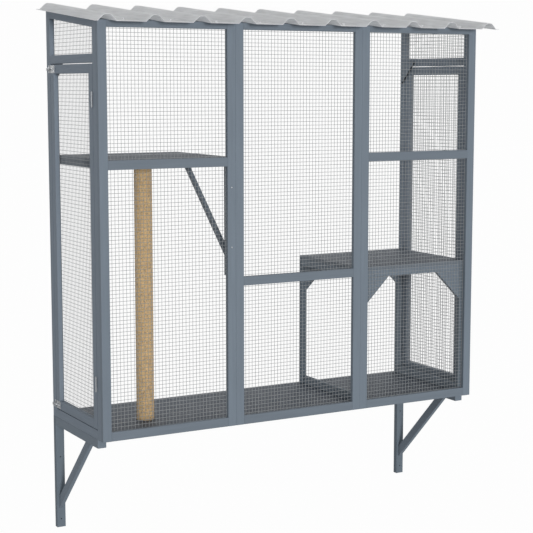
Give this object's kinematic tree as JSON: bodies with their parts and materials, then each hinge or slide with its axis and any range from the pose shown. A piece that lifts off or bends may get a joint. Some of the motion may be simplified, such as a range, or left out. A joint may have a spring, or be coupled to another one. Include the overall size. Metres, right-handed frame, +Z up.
{
  "type": "window box catio",
  "caption": "Wall-hung timber and wire-mesh cat enclosure with two hinged side doors, a shelf, a bench, a scratching post and a ribbed roof.",
  "frame": {"origin": "centre of the back face of the rail that lies along the wall under the floor", "axes": "+Y into the wall, +Z up, +X to the right as seen from the front"},
  "size_m": [1.592, 0.5205, 1.8558],
  "materials": {
    "painted_timber": "blue-grey paint on softwood, faint grain",
    "dark_board": "dark grey coated board",
    "wire_mesh": "light grey galvanised welded wire",
    "zinc_plated_steel": "bright zinc",
    "roof_plastic": "translucent light grey ribbed sheet",
    "bare_wood": "plain wood or board tube inside the wrap",
    "sisal": "tan sisal, rough"
  },
  "bodies": {
    "frame": {"front_left_stiles": "painted_timber", "front_left_rails": "painted_timber", "front_left_mesh": "wire_mesh", "front_middle_stiles": "painted_timber", "front_middle_rails": "painted_timber", "front_middle_mesh": "wire_mesh", "front_right_stiles": "painted_timber", "front_right_rails": "painted_timber", "front_right_mesh": "wire_mesh", "left_side_stiles": "painted_timber", "left_side_rails": "painted_timber", "left_window_mesh": "wire_mesh", "left_door_stop": "painted_timber", "right_side_stiles": "painted_timber", "right_side_rails": "painted_timber", "right_window_mesh": "wire_mesh", "right_door_stop": "painted_timber", "rear_top_rail": "painted_timber", "rear_floor_rail": "painted_timber", "floor_panel": "dark_board", "roof_sheet": "roof_plastic", "roof_screws": "roof_plastic", "shelf_panel": "dark_board", "shelf_cleats": "painted_timber", "shelf_bracket_leg": "painted_timber", "shelf_bracket_strut": "painted_timber", "bench_top": "dark_board", "bench_legs": "painted_timber", "bench_aprons": "painted_timber", "bench_gussets": "painted_timber", "bench_bottom_rails": "painted_timber", "post_core": "bare_wood", "sisal_wrap": "sisal", "bracket_legs": "painted_timber", "bracket_arms": "painted_timber", "bracket_struts": "painted_timber", "left_hinge_frame_leaves": "zinc_plated_steel", "left_hinge_pins": "zinc_plated_steel", "left_bolt_keepers": "zinc_plated_steel", "right_hinge_frame_leaves": "zinc_plated_steel", "right_hinge_pins": "zinc_plated_steel", "right_bolt_keepers": "zinc_plated_steel", "frame_screws": "zinc_plated_steel"},
    "left_door": {"left_door_stiles": "painted_timber", "left_door_rails": "painted_timber", "left_door_mesh": "wire_mesh", "left_hinge_door_leaves": "zinc_plated_steel", "left_bolt_plates": "zinc_plated_steel", "left_door_screws": "zinc_plated_steel"},
    "left_top_bolt": {"left_top_bolt": "zinc_plated_steel"},
    "left_bottom_bolt": {"left_bottom_bolt": "zinc_plated_steel"},
    "right_door": {"right_door_stiles": "painted_timber", "right_door_rails": "painted_timber", "right_door_mesh": "wire_mesh", "right_hinge_door_leaves": "zinc_plated_steel", "right_bolt_plates": "zinc_plated_steel", "right_door_screws": "zinc_plated_steel"},
    "right_top_bolt": {"right_top_bolt": "zinc_plated_steel"},
    "right_bottom_bolt": {"right_bottom_bolt": "zinc_plated_steel"}
  },
  "joints": [
    {"name": "left_door_swing", "type": "hinge", "parent": "frame", "child": "left_door", "pos_m": [-0.7535, -0.4085, 0.666], "axis": [0, 0, 1], "range_deg": [0, 170]},
    {"name": "left_top_bolt_slide", "type": "slide", "parent": "left_door", "child": "left_top_bolt", "axis": [0, 1, 0], "range_m": [0, 0.012]},
    {"name": "left_bottom_bolt_slide", "type": "slide", "parent": "left_door", "child": "left_bottom_bolt", "axis": [0, 1, 0], "range_m": [0, 0.012]},
    {"name": "right_door_swing", "type": "hinge", "parent": "frame", "child": "right_door", "pos_m": [0.7535, -0.4085, 0.666], "axis": [0, 0, -1], "range_deg": [0, 170]},
    {"name": "right_top_bolt_slide", "type": "slide", "parent": "right_door", "child": "right_top_bolt", "axis": [0, 1, 0], "range_m": [0, 0.012]},
    {"name": "right_bottom_bolt_slide", "type": "slide", "parent": "right_door", "child": "right_bottom_bolt", "axis": [0, 1, 0], "range_m": [0, 0.012]}
  ]
}
